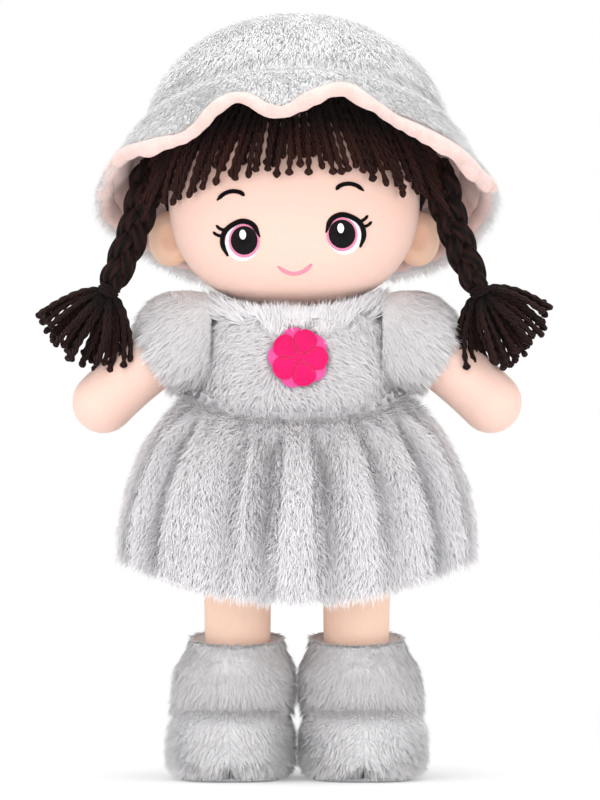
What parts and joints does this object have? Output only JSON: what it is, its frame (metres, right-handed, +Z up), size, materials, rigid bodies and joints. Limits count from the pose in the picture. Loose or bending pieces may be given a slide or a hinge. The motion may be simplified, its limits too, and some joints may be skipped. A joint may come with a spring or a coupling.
{
  "type": "rag doll",
  "caption": "Soft standing rag doll in a plush dress, plush boots and a brimmed plush hat, with yarn fringe and plaits; its head, arms, legs and plaits swing and the hat lifts off.",
  "frame": {"origin": "on the floor under the soles, below the middle of the doll's outer box", "axes": "+Z up from the soles to the hat's crown, -Y the way the face looks, +X the side of the right_ pieces, which is on the right of someone who faces the doll"},
  "size_m": [0.2488, 0.1898, 0.3969],
  "materials": {
    "skin": "smooth peach jersey",
    "plush": "pale grey long-pile plush",
    "lining": "pale pink velour",
    "yarn": "dark brown twisted yarn",
    "filling": "loose white fibre",
    "petal": "deep pink felt",
    "under_petal": "lighter pink felt",
    "black_thread": "black embroidery thread",
    "pink_thread": "pink embroidery thread",
    "sole": "grey felt"
  },
  "bodies": {
    "torso": {"torso_cover": "skin", "torso_filling": "filling", "dress_bodice": "plush", "dress_skirt": "plush", "flower_back": "under_petal", "flower_front": "petal", "flower_button": "petal"},
    "neck": {"neck": "skin"},
    "head": {"head_cover": "skin", "head_filling": "filling", "mouth": "pink_thread", "hair_cap": "yarn", "fringe": "yarn", "left_ear": "skin", "left_eye": "black_thread", "left_lashes": "black_thread", "left_brow": "black_thread", "right_ear": "skin", "right_eye": "black_thread", "right_lashes": "black_thread", "right_brow": "black_thread"},
    "hat": {"hat_crown": "plush", "crown_lining": "lining", "hat_brim": "plush", "brim_lining": "lining"},
    "left_braid": {"left_plait": "yarn", "left_tie": "yarn", "left_tassel": "yarn"},
    "left_arm": {"left_arm_cover": "skin", "left_arm_filling": "filling", "left_sleeve": "plush"},
    "left_leg": {"left_leg_cover": "skin", "left_leg_filling": "filling", "left_boot_shaft": "plush", "left_boot_foot": "plush", "left_boot_sole": "sole"},
    "right_braid": {"right_plait": "yarn", "right_tie": "yarn", "right_tassel": "yarn"},
    "right_arm": {"right_arm_cover": "skin", "right_arm_filling": "filling", "right_sleeve": "plush"},
    "right_leg": {"right_leg_cover": "skin", "right_leg_filling": "filling", "right_boot_shaft": "plush", "right_boot_foot": "plush", "right_boot_sole": "sole"}
  },
  "joints": [
    {"name": "neck_turn", "type": "hinge", "parent": "torso", "child": "neck", "pos_m": [0, 0.0107, 0.25], "axis": [0, 0, 1], "range_deg": [-35, 35], "stiffness_Nm_per_rad": 0.5},
    {"name": "head_nod", "type": "hinge", "parent": "neck", "child": "head", "pos_m": [0, 0.0107, 0.25], "axis": [-1, 0, 0], "range_deg": [-6, 12], "stiffness_Nm_per_rad": 1.2},
    {"name": "hat_lift", "type": "slide", "parent": "head", "child": "hat", "axis": [0, 0.4384, 0.8988], "range_m": [0, 0.14]},
    {"name": "left_shoulder", "type": "hinge", "parent": "torso", "child": "left_arm", "pos_m": [-0.04381, 0.0067, 0.229], "axis": [-1, 0, 0], "range_deg": [-60, 100], "stiffness_Nm_per_rad": 0.1, "deforming": ["left_tassel"]},
    {"name": "right_shoulder", "type": "hinge", "parent": "torso", "child": "right_arm", "pos_m": [0.04381, 0.0067, 0.229], "axis": [-1, 0, 0], "range_deg": [-60, 100], "stiffness_Nm_per_rad": 0.1, "deforming": ["right_tassel"]},
    {"name": "left_hip", "type": "hinge", "parent": "torso", "child": "left_leg", "pos_m": [-0.031, 0.0067, 0.1374], "axis": [-1, 0, 0], "range_deg": [-25, 90], "stiffness_Nm_per_rad": 2, "deforming": ["dress_skirt"]},
    {"name": "right_hip", "type": "hinge", "parent": "torso", "child": "right_leg", "pos_m": [0.031, 0.0067, 0.1374], "axis": [-1, 0, 0], "range_deg": [-25, 90], "stiffness_Nm_per_rad": 2, "deforming": ["dress_skirt"]},
    {"name": "left_braid_swing", "type": "hinge", "parent": "head", "child": "left_braid", "pos_m": [-0.07697, -0.0053, 0.322], "axis": [0, 1, 0], "range_deg": [-5, 20], "stiffness_Nm_per_rad": 0.2, "deforming": ["left_tassel"]},
    {"name": "right_braid_swing", "type": "hinge", "parent": "head", "child": "right_braid", "pos_m": [0.07397, -0.0053, 0.322], "axis": [0, -1, 0], "range_deg": [-5, 20], "stiffness_Nm_per_rad": 0.2, "deforming": ["right_tassel"]}
  ]
}
